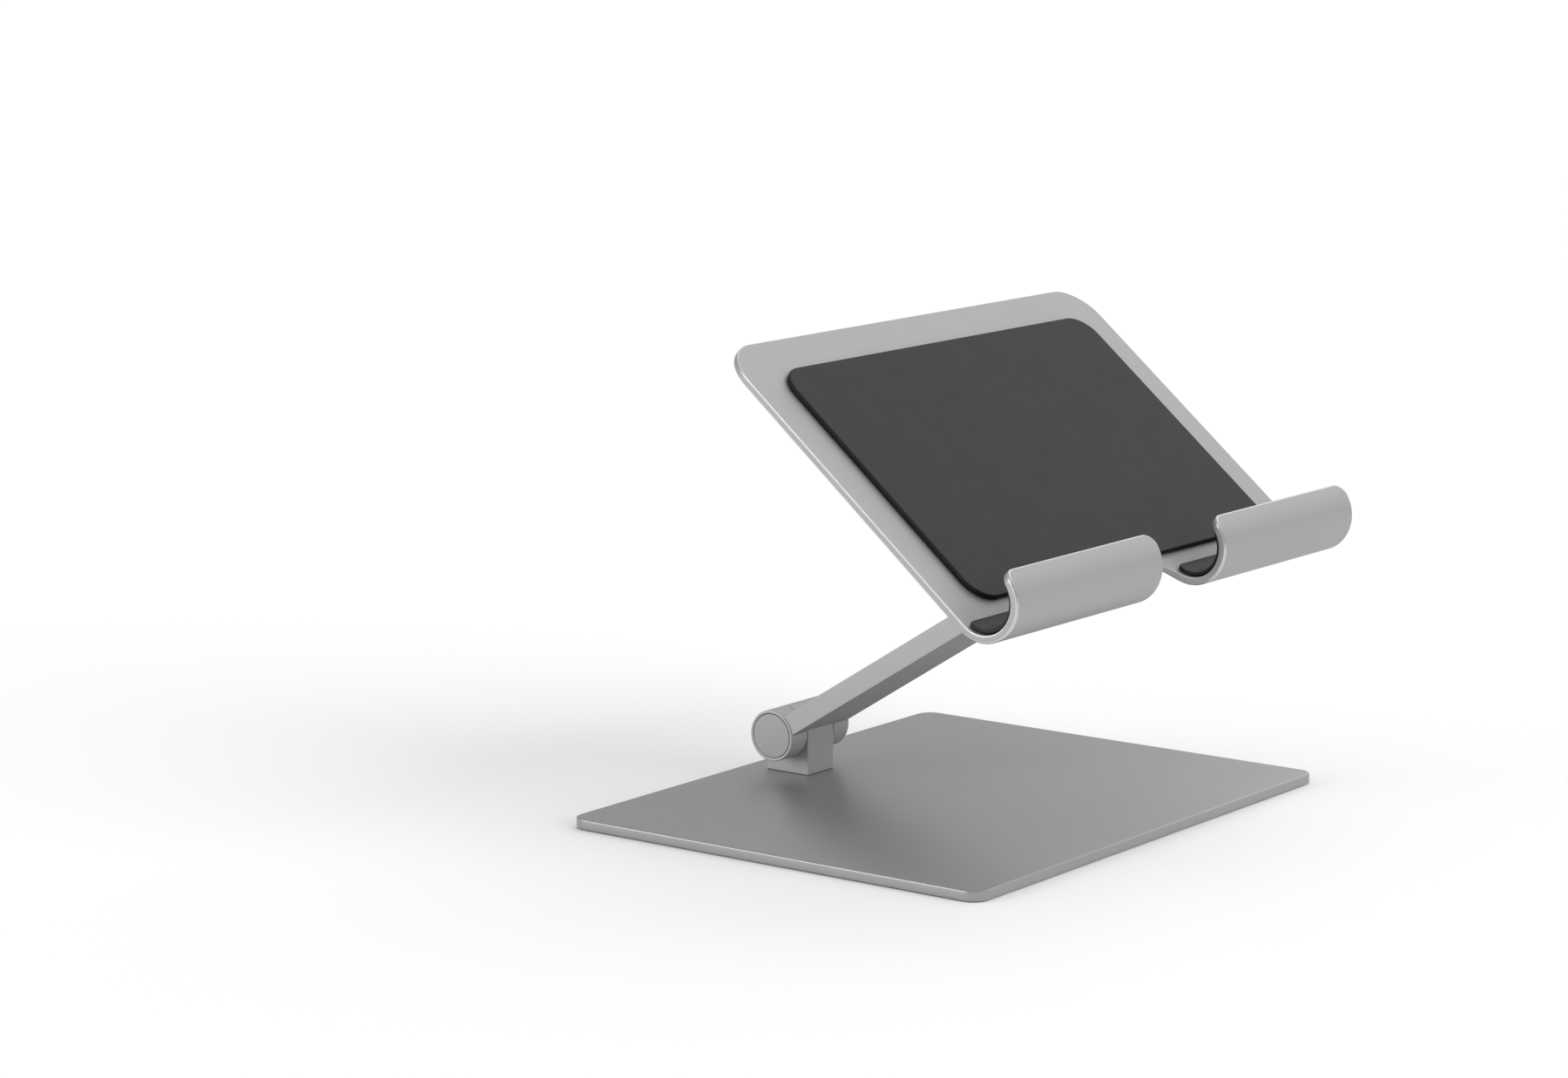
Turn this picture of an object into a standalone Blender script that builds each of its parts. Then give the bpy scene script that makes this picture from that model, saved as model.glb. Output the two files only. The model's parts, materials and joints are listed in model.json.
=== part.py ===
"""Folding tablet stand: a base plate with a post, one flat arm, and a cradle of bent sheet.

Two friction hinges of the same make join them. X runs across the stand, the user sits at
-Y, and Z is up. The origin is the centre of the base's underside. Lengths are in metres
and angles in degrees.
"""

import math

import bmesh
import bpy
from mathutils import Matrix, Vector

# Base plate and the mat under it
BASE_WIDTH = 0.1734
BASE_DEPTH = 0.1406
BASE_THICKNESS = 0.0029
BASE_CORNER_RADIUS = 0.005
BASE_CHAMFER = 0.0004
MAT_THICKNESS = 0.0009
MAT_PROUD = 0.0003  # how far the mat stands below the plate
MAT_MARGIN = 0.004  # rim of plate left round the mat

# Post
POST_INSET = 0.0084  # from the base's back edge to the post
BARREL_RISE = 0.0047  # from the base's top to the barrel's underside

# Arm and cradle as they stand
ARM_LENGTH = 0.1128  # from axis to axis
ARM_THICKNESS = 0.0062
ARM_STEP = 0.0003  # how far each barrel end stands proud of the arm's side
ARM_ELEVATION = 31.9
CRADLE_TILT = 39.7

# Hinges, from the middle outwards
TONGUE_WIDTH = 0.0124
BOLT_RADIUS = 0.0025
WASHER_THICKNESS = 0.0009
WASHER_RIM = 0.0025
WEB = 0.0023  # wall of the arm between the washer and the disc spring
SPRING_SHEET = 0.0005
SPRING_CONE = 0.0004
SPRING_RIM = 0.0021
HEAD_THICKNESS = 0.0021
HEAD_RADIUS = 0.0043
HEX_KEY = 0.003  # across the flats of the bolt's socket
HEX_KEY_DEPTH = 0.0013
NUT_FLATS = 0.008
NUT_ROOM = 0.0005  # between the nut's corners and the cap's skirt
CAP_THICKNESS = 0.0012
CAP_SKIRT = 0.0007
CAP_SKIRT_DEPTH = 0.0015
CAP_LEDGE = 0.0007  # step in the barrel that the cap's rim sits on
RING_WALL = 0.0008  # rim of the barrel outside the cap

# Bracket between the upper hinge and the cradle
FOOT_THICKNESS = 0.0034
FOOT_WIDTH = 0.027
FOOT_DEPTH = 0.024
FOOT_RADIUS = 0.003
FOOT_ROOM = 0.0005  # between the barrel and the foot

# Cradle
SHEET = 0.0023
CRADLE_WIDTH = 0.1716
PLATE_RISE = 0.104  # from the start of the bend to the plate's top edge
PLATE_CORNER_RADIUS = 0.012
HINGE_ABOVE_BEND = 0.0186
HOOK_RADIUS = 0.01115  # outside of the bend
HOOK_GAP = 0.0317  # between the two hooks
LIP_RISE = 0.0009  # straight stretch past the half circle
LIP_CORNER_RADIUS = 0.004
NOTCH_RISE = 0.002  # how far the gap runs up into the plate
NOTCH_CORNER_RADIUS = 0.006

# Rubber in the cradle
LINING = 0.001
LINING_SIDE_MARGIN = 0.0012
LINING_LIP_MARGIN = 0.0035
PAD_THICKNESS = 0.0015
PAD_CORNER_RADIUS = 0.008
PAD_MARGIN = 0.012  # from the pad to the plate's sides and top edge
PAD_FOOT_MARGIN = 0.003  # from the pad to the notch below it

# Countersunk screws
SCREW_RADIUS = 0.0015
SCREW_HEAD_RADIUS = 0.0027
SCREW_SINK = 0.0001  # how far a head lies below its face
SCREW_KEY = 0.0018
SCREW_KEY_DEPTH = 0.0006
POST_SCREW_LENGTH = 0.008
POST_SCREW_SPACING = 0.0088
BRACKET_SCREW_SPACING_X = 0.0195
BRACKET_SCREW_SPACING_Y = 0.0165
BRACKET_SCREW_SHORT = 0.0003  # from a screw's end to the far face of the foot

GAP = 0.0003  # clearance between pieces that touch, slide or turn on each other
CUT = 0.001  # how far a cutter runs past the face it cuts

ROUND_STEPS = 24  # points round a small turned piece
BARREL_STEPS = 48  # points round a barrel
CORNER_STEPS = 5
BEND_STEPS = 14

# Worked out from the sizes above
BASE_TOP = MAT_PROUD + BASE_THICKNESS
MAT_POCKET = MAT_THICKNESS + GAP
NUT_CORNER = NUT_FLATS / 2 / math.cos(math.pi / 6)
SKIRT_INNER = max(NUT_CORNER, HEAD_RADIUS) + NUT_ROOM
CAVITY_RADIUS = SKIRT_INNER + CAP_SKIRT + GAP
RECESS_RADIUS = CAVITY_RADIUS + CAP_LEDGE
BARREL_RADIUS = RECESS_RADIUS + RING_WALL
BORE_RADIUS = BOLT_RADIUS + GAP
WASHER_RADIUS = BORE_RADIUS + WASHER_RIM
SPRING_RADIUS = BORE_RADIUS + SPRING_RIM

TONGUE_FACE = TONGUE_WIDTH / 2
WASHER_FLOOR = TONGUE_FACE - WASHER_THICKNESS - GAP
KNUCKLE_FACE = TONGUE_FACE + GAP
CAVITY_FLOOR = KNUCKLE_FACE + WEB
HEAD_SEAT = CAVITY_FLOOR + GAP + SPRING_SHEET + SPRING_CONE + GAP
HEAD_END = HEAD_SEAT + HEAD_THICKNESS
CAP_SEAT = HEAD_END + GAP
BARREL_END = CAP_SEAT + CAP_THICKNESS
ARM_SIDE = BARREL_END - ARM_STEP
# Deep enough for the tongue's flat sides to pass the arm when the hinge folds
SLOT_RADIUS = math.hypot(BARREL_RADIUS + GAP, ARM_THICKNESS / 2)

POST_Y = BASE_DEPTH / 2 - POST_INSET - BARREL_RADIUS
LOWER_AXIS_Z = BASE_TOP + BARREL_RISE + BARREL_RADIUS
FOOT_FACE = BARREL_RADIUS + FOOT_ROOM
PLATE_BACK = FOOT_FACE + FOOT_THICKNESS + GAP
PLATE_FRONT = PLATE_BACK + SHEET
BEND_MID_RADIUS = HOOK_RADIUS - SHEET / 2
BEND_LENGTH = math.pi * BEND_MID_RADIUS


def clear_scene():
    for obj in list(bpy.data.objects):
        bpy.data.objects.remove(obj, do_unlink=True)


def principled(name, colour, roughness, metallic):
    material = bpy.data.materials.new(name)
    material.use_nodes = True
    shader = material.node_tree.nodes["Principled BSDF"]
    shader.inputs["Base Color"].default_value = (*colour, 1.0)
    shader.inputs["Roughness"].default_value = roughness
    shader.inputs["Metallic"].default_value = metallic
    return material


def empty(name, location, rotation_x=0.0, parent=None):
    obj = bpy.data.objects.new(name, None)
    bpy.context.scene.collection.objects.link(obj)
    obj.location = location
    obj.rotation_euler.x = rotation_x
    obj.parent = parent
    return obj


def solid(name, bm, material, parent=None, location=(0, 0, 0), rotation=(0, 0, 0)):
    """Makes an object of the bmesh, with its faces turned outwards."""
    bmesh.ops.recalc_face_normals(bm, faces=bm.faces)
    mesh = bpy.data.meshes.new(name)
    bm.to_mesh(mesh)
    bm.free()
    mesh.shade_smooth()
    mesh.set_sharp_from_angle(angle=math.radians(30))
    obj = bpy.data.objects.new(name, mesh)
    bpy.context.scene.collection.objects.link(obj)
    if material:
        mesh.materials.append(material)
    obj.parent = parent
    obj.location = location
    obj.rotation_euler = rotation
    return obj


def helper(name, bm, parent=None, location=(0, 0, 0), rotation=(0, 0, 0)):
    """Makes a shape that only cuts others or is joined to them."""
    obj = solid(name, bm, None, parent, location, rotation)
    obj.display_type = "WIRE"
    obj.hide_render = True
    return obj


def combine(obj, operation, *others):
    for other in others:
        modifier = obj.modifiers.new(other.name, "BOOLEAN")
        modifier.operation = operation
        modifier.solver = "EXACT"
        modifier.object = other


def arc(centre, radius, start, end, steps):
    """Points along an arc in a plane, from the start angle to the end angle."""
    angles = (math.radians(start + (end - start) * i / steps) for i in range(steps + 1))
    return [(centre[0] + radius * math.cos(a), centre[1] + radius * math.sin(a)) for a in angles]


def rounded_rectangle(width, depth, radius):
    x, y = width / 2 - radius, depth / 2 - radius
    corners = ((x, y, 0), (-x, y, 90), (-x, -y, 180), (x, -y, 270))
    return [p for cx, cy, a in corners for p in arc((cx, cy), radius, a, a + 90, CORNER_STEPS)]


def circle(radius, steps=ROUND_STEPS):
    return [(radius * math.cos(a), radius * math.sin(a))
            for a in (2 * math.pi * i / steps for i in range(steps))]


def hexagon(flats, steps=ROUND_STEPS):
    """A hexagon with as many points as a circle, so that the two can be bridged."""
    points = []
    for i in range(steps):
        angle = 2 * math.pi * i / steps
        off_flat = angle % (math.pi / 3) - math.pi / 6
        radius = flats / 2 / math.cos(off_flat)
        points.append((radius * math.cos(angle), radius * math.sin(angle)))
    return points


def loft(sections, closed=False):
    """A solid through (outline, height) sections, with flat ends, or closed into a ring."""
    bm = bmesh.new()
    rings = [[bm.verts.new((x, y, height)) for x, y in outline] for outline, height in sections]
    pairs = list(zip(rings, rings[1:]))
    if closed:
        pairs.append((rings[-1], rings[0]))
    else:
        bm.faces.new(rings[0])
        bm.faces.new(rings[-1])
    for low, high in pairs:
        for i in range(len(low)):
            bm.faces.new((low[i - 1], low[i], high[i], high[i - 1]))
    return bm


def turned(profile, steps=ROUND_STEPS, closed=False):
    """A turned piece about X, from (x, radius) pairs."""
    bm = loft([(circle(radius, steps), x) for x, radius in profile], closed)
    bmesh.ops.transform(bm, matrix=Matrix.Rotation(math.pi / 2, 4, "Y"), verts=bm.verts)
    return bm


def block(low, high):
    bm = bmesh.new()
    size = Vector(high) - Vector(low)
    middle = (Vector(high) + Vector(low)) / 2
    bmesh.ops.create_cube(bm, size=1, matrix=Matrix.Translation(middle) @ Matrix.Diagonal((*size, 1)))
    return bm


def screw(name, length, parent, location, rotation):
    """A countersunk screw, and the cutter for its hole. Both run along their own +Z."""
    cone = SCREW_HEAD_RADIUS - SCREW_RADIUS
    bm = loft([
        (circle(SCREW_HEAD_RADIUS), SCREW_SINK),
        (circle(SCREW_RADIUS), SCREW_SINK + cone),
        (circle(SCREW_RADIUS), SCREW_SINK + length),
    ])
    obj = solid(name, bm, STEEL, parent, location, rotation)
    key = loft([(hexagon(SCREW_KEY), -CUT), (hexagon(SCREW_KEY), SCREW_SINK + SCREW_KEY_DEPTH)])
    combine(obj, "DIFFERENCE", helper(name + "_key", key, parent, location, rotation))
    hole = loft([
        (circle(SCREW_HEAD_RADIUS + GAP), -CUT),
        (circle(SCREW_HEAD_RADIUS + GAP), SCREW_SINK),
        (circle(SCREW_RADIUS + GAP), SCREW_SINK + cone),
        (circle(SCREW_RADIUS + GAP), SCREW_SINK + length + GAP),
    ])
    return helper(name + "_hole", hole, parent, location, rotation)


def tongue(height):
    """The middle leaf of a hinge, rounded about the axis on top, with its foot below."""
    outline = arc((0, 0), BARREL_RADIUS, 0, 180, BARREL_STEPS // 2)
    outline += [(-BARREL_RADIUS, -height), (BARREL_RADIUS, -height)]
    bm = loft([(outline, -TONGUE_FACE), (outline, TONGUE_FACE)])
    # The outline's x becomes Y and its y becomes Z.
    turn = Matrix(((0, 0, 1, 0), (1, 0, 0, 0), (0, 1, 0, 0), (0, 0, 0, 1)))
    bmesh.ops.transform(bm, matrix=turn, verts=bm.verts)
    return bm


def tongue_bore():
    """Cutter for a tongue: the bolt's bore, with a pocket for a friction washer on each side."""
    pocket = WASHER_RADIUS + GAP
    profile = [(-TONGUE_FACE - CUT, pocket), (-WASHER_FLOOR, pocket), (-WASHER_FLOOR, BORE_RADIUS)]
    return turned(profile + [(-x, radius) for x, radius in reversed(profile)])


def knuckle_bore():
    """Cutter for the arm at a hinge: room for the tongue, the bore, and both capped cavities."""
    profile = [
        (-BARREL_END - CUT, RECESS_RADIUS), (-CAP_SEAT + GAP, RECESS_RADIUS),
        (-CAP_SEAT + GAP, CAVITY_RADIUS), (-CAVITY_FLOOR, CAVITY_RADIUS),
        (-CAVITY_FLOOR, BORE_RADIUS), (-KNUCKLE_FACE, BORE_RADIUS),
        (-KNUCKLE_FACE, SLOT_RADIUS),
    ]
    return turned(profile + [(-x, radius) for x, radius in reversed(profile)], BARREL_STEPS)


def hinge_hardware(prefix, parent, location):
    """Bolt, nut, disc springs, friction washers and end caps of one hinge."""
    bolt = solid(prefix + "_bolt", turned([
        (-HEAD_END, HEAD_RADIUS), (-HEAD_SEAT, HEAD_RADIUS),
        (-HEAD_SEAT, BOLT_RADIUS), (HEAD_END, BOLT_RADIUS),
    ]), STEEL, parent, location)
    key = loft([(hexagon(HEX_KEY), -HEAD_END - CUT), (hexagon(HEX_KEY), -HEAD_END + HEX_KEY_DEPTH)])
    bmesh.ops.transform(key, matrix=Matrix.Rotation(math.pi / 2, 4, "Y"), verts=key.verts)
    combine(bolt, "DIFFERENCE", helper(prefix + "_bolt_key", key, parent, location))

    nut = loft([
        (circle(BORE_RADIUS), HEAD_SEAT), (hexagon(NUT_FLATS), HEAD_SEAT),
        (hexagon(NUT_FLATS), HEAD_END), (circle(BORE_RADIUS), HEAD_END),
    ], closed=True)
    bmesh.ops.transform(nut, matrix=Matrix.Rotation(math.pi / 2, 4, "Y"), verts=nut.verts)
    solid(prefix + "_nut", nut, STEEL, parent, location)

    spring_start = CAVITY_FLOOR + GAP
    for side, sign in (("left", -1), ("right", 1)):
        washer = [
            (WASHER_FLOOR + GAP, BORE_RADIUS), (WASHER_FLOOR + GAP, WASHER_RADIUS),
            (TONGUE_FACE, WASHER_RADIUS), (TONGUE_FACE, BORE_RADIUS),
        ]
        spring = [
            (spring_start + SPRING_CONE, BORE_RADIUS), (spring_start, SPRING_RADIUS),
            (spring_start + SPRING_SHEET, SPRING_RADIUS),
            (spring_start + SPRING_CONE + SPRING_SHEET, BORE_RADIUS),
        ]
        skirt_end = CAP_SEAT - CAP_SKIRT_DEPTH
        cap = [
            (CAP_SEAT, SKIRT_INNER), (skirt_end, SKIRT_INNER), (skirt_end, SKIRT_INNER + CAP_SKIRT),
            (CAP_SEAT, SKIRT_INNER + CAP_SKIRT), (CAP_SEAT, RECESS_RADIUS - GAP),
            (BARREL_END, RECESS_RADIUS - GAP),
        ]
        pieces = (
            ("_friction_washer_", washer, FRICTION, True),
            ("_disc_spring_", spring, STEEL, True),
            ("_cap_", cap, ALUMINIUM, False),
        )
        for kind, profile, material, ring in pieces:
            bm = turned([(sign * x, radius) for x, radius in profile], closed=ring)
            solid(prefix + kind + side, bm, material, parent, location)


def bent_sheet(outline, back, front):
    """The flat blank, cut to the outline and bent. Its x runs across the cradle and its y is
    the length along the sheet's middle, from the start of the bend. Back and front are
    measured from the sheet's outer face.
    """
    bm = bmesh.new()
    bm.faces.new([bm.verts.new((x, y, back)) for x, y in outline])
    # One cut down the middle, so that no bend line meets both hooks in one face
    cuts = [((0, 0, 0), (1, 0, 0))]
    cuts += [((0, -BEND_LENGTH * i / BEND_STEPS, 0), (0, 1, 0)) for i in range(BEND_STEPS + 1)]
    for point, normal in cuts:
        bmesh.ops.bisect_plane(bm, geom=bm.verts[:] + bm.edges[:] + bm.faces[:],
                               plane_co=point, plane_no=normal)
    grown = bmesh.ops.extrude_face_region(bm, geom=bm.faces[:])
    top = [v for v in grown["geom"] if isinstance(v, bmesh.types.BMVert)]
    bmesh.ops.translate(bm, vec=(0, 0, front - back), verts=top)
    for vert in bm.verts:
        along, depth = vert.co.y, vert.co.z
        angle = min(max(-along / BEND_MID_RADIUS, 0), math.pi)
        past_bend = max(along, 0) + max(-BEND_LENGTH - along, 0)
        radius = HOOK_RADIUS - depth
        vert.co.y = past_bend - radius * math.sin(angle) - HINGE_ABOVE_BEND
        vert.co.z = PLATE_BACK + HOOK_RADIUS - radius * math.cos(angle)
    return bm


def cradle_outline():
    """The blank's outline: a plate with two hooks at its foot and a notch between them."""
    half, gap = CRADLE_WIDTH / 2, HOOK_GAP / 2
    lip_end = -BEND_LENGTH - LIP_RISE
    lip, notch, corner = LIP_CORNER_RADIUS, NOTCH_CORNER_RADIUS, PLATE_CORNER_RADIUS
    right = arc((gap - notch, NOTCH_RISE - notch), notch, 90, 0, CORNER_STEPS)
    right += arc((gap + lip, lip_end + lip), lip, 180, 270, CORNER_STEPS)
    right += arc((half - lip, lip_end + lip), lip, 270, 360, CORNER_STEPS)
    right += arc((half - corner, PLATE_RISE - corner), corner, 0, 90, CORNER_STEPS)
    return right + [(-x, y) for x, y in reversed(right)]


def moved(outline, x, y):
    return [(px + x, py + y) for px, py in outline]


def make_base():
    outer = rounded_rectangle(BASE_WIDTH, BASE_DEPTH, BASE_CORNER_RADIUS)
    chamfered = rounded_rectangle(BASE_WIDTH - 2 * BASE_CHAMFER, BASE_DEPTH - 2 * BASE_CHAMFER,
                                  BASE_CORNER_RADIUS - BASE_CHAMFER)
    pocket = rounded_rectangle(BASE_WIDTH - 2 * MAT_MARGIN, BASE_DEPTH - 2 * MAT_MARGIN,
                               BASE_CORNER_RADIUS)
    mat = rounded_rectangle(BASE_WIDTH - 2 * (MAT_MARGIN + GAP), BASE_DEPTH - 2 * (MAT_MARGIN + GAP),
                            BASE_CORNER_RADIUS)
    plate = solid("base_plate", loft([
        (pocket, MAT_POCKET), (pocket, MAT_PROUD), (outer, MAT_PROUD),
        (outer, BASE_TOP - BASE_CHAMFER), (chamfered, BASE_TOP),
    ]), BASE_METAL)
    solid("base_mat", loft([(mat, 0), (mat, MAT_THICKNESS)]), RUBBER)

    axis = (0, POST_Y, LOWER_AXIS_Z)
    post = solid("post", tongue(LOWER_AXIS_Z - BASE_TOP - GAP), ALUMINIUM, location=axis)
    combine(post, "DIFFERENCE", helper("post_bore", tongue_bore(), location=axis))
    for side, sign in (("front", -1), ("back", 1)):
        place = (0, POST_Y + sign * POST_SCREW_SPACING / 2, MAT_POCKET)
        hole = screw("post_screw_" + side, POST_SCREW_LENGTH, None, place, (0, 0, 0))
        combine(plate, "DIFFERENCE", hole)
        combine(post, "DIFFERENCE", hole)


def make_arm(pivot):
    """The flat arm with a forked barrel at each end. Its length runs along the pivot's -Y."""
    half = ARM_THICKNESS / 2
    arm = solid("arm", block((-ARM_SIDE, -ARM_LENGTH, -half), (ARM_SIDE, 0, half)), ALUMINIUM, pivot)
    far_end = (0, -ARM_LENGTH, 0)
    barrel = [(-BARREL_END, BARREL_RADIUS), (BARREL_END, BARREL_RADIUS)]
    for prefix, place in (("lower", (0, 0, 0)), ("upper", far_end)):
        tube = helper(prefix + "_barrel", turned(barrel, BARREL_STEPS), pivot, place)
        combine(arm, "UNION", tube)
    for prefix, place in (("lower", (0, 0, 0)), ("upper", far_end)):
        cutter = helper(prefix + "_knuckle_bore", knuckle_bore(), pivot, place)
        combine(arm, "DIFFERENCE", cutter)
        hinge_hardware(prefix, pivot, place)


def make_cradle(pivot):
    """The bracket, the bent sheet, its screws and its rubber. The sheet rises along the
    pivot's +Y and faces its +Z.
    """
    bracket = solid("cradle_bracket", tongue(FOOT_FACE + FOOT_THICKNESS / 2), ALUMINIUM, pivot,
                    rotation=(math.pi, 0, 0))
    foot = rounded_rectangle(FOOT_WIDTH, FOOT_DEPTH, FOOT_RADIUS)
    foot = helper("bracket_foot", loft([(foot, FOOT_FACE), (foot, FOOT_FACE + FOOT_THICKNESS)]), pivot)
    combine(bracket, "UNION", foot)
    combine(bracket, "DIFFERENCE", helper("bracket_bore", tongue_bore(), pivot))

    sheet = solid("cradle", bent_sheet(cradle_outline(), 0, SHEET), ALUMINIUM, pivot)
    length = SHEET + GAP + FOOT_THICKNESS - SCREW_SINK - BRACKET_SCREW_SHORT
    corners = (("lower_left", -1, -1), ("lower_right", 1, -1), ("upper_left", -1, 1), ("upper_right", 1, 1))
    for corner, side, row in corners:
        place = (side * BRACKET_SCREW_SPACING_X / 2, row * BRACKET_SCREW_SPACING_Y / 2, PLATE_FRONT)
        hole = screw("bracket_screw_" + corner, length, pivot, place, (math.pi, 0, 0))
        combine(sheet, "DIFFERENCE", hole)
        combine(bracket, "DIFFERENCE", hole)

    hook_width = (CRADLE_WIDTH - HOOK_GAP) / 2
    lining_length = BEND_LENGTH + LIP_RISE - LINING_LIP_MARGIN
    lining = rounded_rectangle(hook_width - 2 * LINING_SIDE_MARGIN, lining_length, LIP_CORNER_RADIUS / 2)
    hook_middle = (CRADLE_WIDTH + HOOK_GAP) / 4
    for side, sign in (("left", -1), ("right", 1)):
        outline = moved(lining, sign * hook_middle, -lining_length / 2)
        bm = bent_sheet(outline, SHEET + GAP, SHEET + GAP + LINING)
        solid("hook_lining_" + side, bm, RUBBER, pivot)

    pad_width = CRADLE_WIDTH - 2 * PAD_MARGIN
    pad_foot, pad_top = NOTCH_RISE + PAD_FOOT_MARGIN, PLATE_RISE - PAD_MARGIN
    pad = rounded_rectangle(pad_width, pad_top - pad_foot, PAD_CORNER_RADIUS)
    pad = moved(pad, 0, (pad_top + pad_foot) / 2 - HINGE_ABOVE_BEND)
    bm = loft([(pad, PLATE_FRONT + GAP), (pad, PLATE_FRONT + GAP + PAD_THICKNESS)])
    solid("back_pad", bm, RUBBER, pivot)


clear_scene()
BASE_METAL = principled("base_satin_silver", (0.33, 0.33, 0.335), 0.45, 0.9)
ALUMINIUM = principled("satin_aluminium", (0.47, 0.47, 0.475), 0.42, 1.0)
STEEL = principled("zinc_steel", (0.55, 0.55, 0.56), 0.3, 1.0)
FRICTION = principled("friction_washer_plastic", (0.12, 0.12, 0.13), 0.5, 0.0)
RUBBER = principled("black_silicone", (0.012, 0.012, 0.013), 0.7, 0.0)
arm_pivot = empty("arm_pivot", (0, POST_Y, LOWER_AXIS_Z), -math.radians(ARM_ELEVATION))
cradle_pivot = empty("cradle_pivot", (0, -ARM_LENGTH, 0),
                     math.radians(ARM_ELEVATION + CRADLE_TILT), arm_pivot)
make_base()
make_arm(arm_pivot)
make_cradle(cradle_pivot)
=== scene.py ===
import json
import math

import bmesh
import bpy
from mathutils import Matrix, Vector


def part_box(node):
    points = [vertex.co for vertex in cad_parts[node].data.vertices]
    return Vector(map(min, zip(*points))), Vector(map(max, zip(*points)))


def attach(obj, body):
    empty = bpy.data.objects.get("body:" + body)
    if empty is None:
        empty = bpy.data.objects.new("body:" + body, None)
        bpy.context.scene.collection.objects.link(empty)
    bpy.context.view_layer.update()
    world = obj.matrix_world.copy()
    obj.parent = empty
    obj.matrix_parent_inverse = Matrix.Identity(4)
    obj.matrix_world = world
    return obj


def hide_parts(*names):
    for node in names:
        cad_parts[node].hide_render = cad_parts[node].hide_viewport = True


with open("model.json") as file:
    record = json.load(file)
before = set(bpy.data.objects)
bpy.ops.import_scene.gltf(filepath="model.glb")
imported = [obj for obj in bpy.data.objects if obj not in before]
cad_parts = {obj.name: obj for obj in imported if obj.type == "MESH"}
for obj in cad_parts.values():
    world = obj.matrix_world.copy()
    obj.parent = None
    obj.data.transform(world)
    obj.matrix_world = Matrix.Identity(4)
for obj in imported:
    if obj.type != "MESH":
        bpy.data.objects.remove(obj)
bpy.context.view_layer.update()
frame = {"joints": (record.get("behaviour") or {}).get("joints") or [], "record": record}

# Folding tablet stand: a base plate with a post, one flat arm on two friction hinges, and a
# cradle of bent sheet. Sizes in the dictionaries are in millimetres, meshes are in metres.
mm = 0.001
past = 1.0  # how far a cutter reaches beyond what it cuts
joints = {joint["name"]: Vector(joint["pos_m"]) for joint in frame["joints"]}
lowerAxis, upperAxis = joints["lower_hinge"], joints["upper_hinge"]
armLine = upperAxis - lowerAxis
armTurn = math.atan2(-armLine.z, -armLine.y)
tabletRest = [m for m in frame["record"]["mounts"] if m["name"] == "tablet_rest"][0]
cradleTurn = math.atan2(-tabletRest["axis"][1], tabletRest["axis"][2])

# Pieces of the hinges, arm and cradle are modelled flat at their own axis, then placed.
armPlace = Matrix.Translation(lowerAxis) @ Matrix.Rotation(armTurn, 4, "X")
armFarPlace = Matrix.Translation(upperAxis) @ Matrix.Rotation(armTurn, 4, "X")
cradlePlace = Matrix.Translation(upperAxis) @ Matrix.Rotation(cradleTurn, 4, "X")
postPlace = Matrix.Translation(lowerAxis)

# What both hinges share, read from the frame
postLow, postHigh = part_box("post")
capLow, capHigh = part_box("lower_cap_right")
washerLow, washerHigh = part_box("lower_friction_washer_right")
boltLow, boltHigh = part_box("lower_bolt")
barLow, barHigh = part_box("arm")
hinge = {
    "barrelRadius": (postHigh.y - postLow.y) / 2 / mm,
    "barrelEnd": barHigh.x / mm,
    "tongueFace": postHigh.x / mm,
    "capRadius": (capHigh.y - capLow.y) / 2 / mm,
    "capRim": 1.2,  # thickness of the cap's disc
    "rimGap": 0.12,  # fine ring seen round the cap
    "washerRadius": (washerHigh.y - washerLow.y) / 2 / mm,
    "washerInner": washerLow.x / mm,
    "washerOuter": washerHigh.x / mm,
    "boltRadius": 2.5,
    "headRadius": (boltHigh.y - boltLow.y) / 2 / mm,
    "headEnd": boltHigh.x / mm,
    "headThickness": 2.1,
    "web": 2.3,  # wall of the arm between the washer and the disc spring
    "ledge": 0.7,  # step under the cap's rim
    "gap": 0.3,
}
hinge["knuckleFace"] = hinge["tongueFace"] + hinge["gap"]
hinge["boreRadius"] = hinge["boltRadius"] + hinge["gap"]
hinge["recessRadius"] = hinge["capRadius"] + hinge["rimGap"]
hinge["cavityRadius"] = hinge["capRadius"] + hinge["gap"] - hinge["ledge"]
hinge["cavityFloor"] = hinge["knuckleFace"] + hinge["web"]
hinge["capSeat"] = hinge["barrelEnd"] - hinge["capRim"]
hinge["headSeat"] = hinge["headEnd"] - hinge["headThickness"]


def linear(hexColour):
    values = [int(hexColour[i:i + 2], 16) / 255 for i in (1, 3, 5)]
    return [v / 12.92 if v <= 0.04045 else ((v + 0.055) / 1.055) ** 2.4 for v in values] + [1.0]


def addNode(tree, kind, settings=None, inputs=None):
    # An input is a value, or the socket that feeds it.
    node = tree.nodes.new(kind)
    for name, value in (settings or {}).items():
        setattr(node, name, value)
    for name, value in (inputs or {}).items():
        if isinstance(value, bpy.types.NodeSocket):
            tree.links.new(value, node.inputs[name])
        else:
            node.inputs[name].default_value = value
    return node


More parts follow.
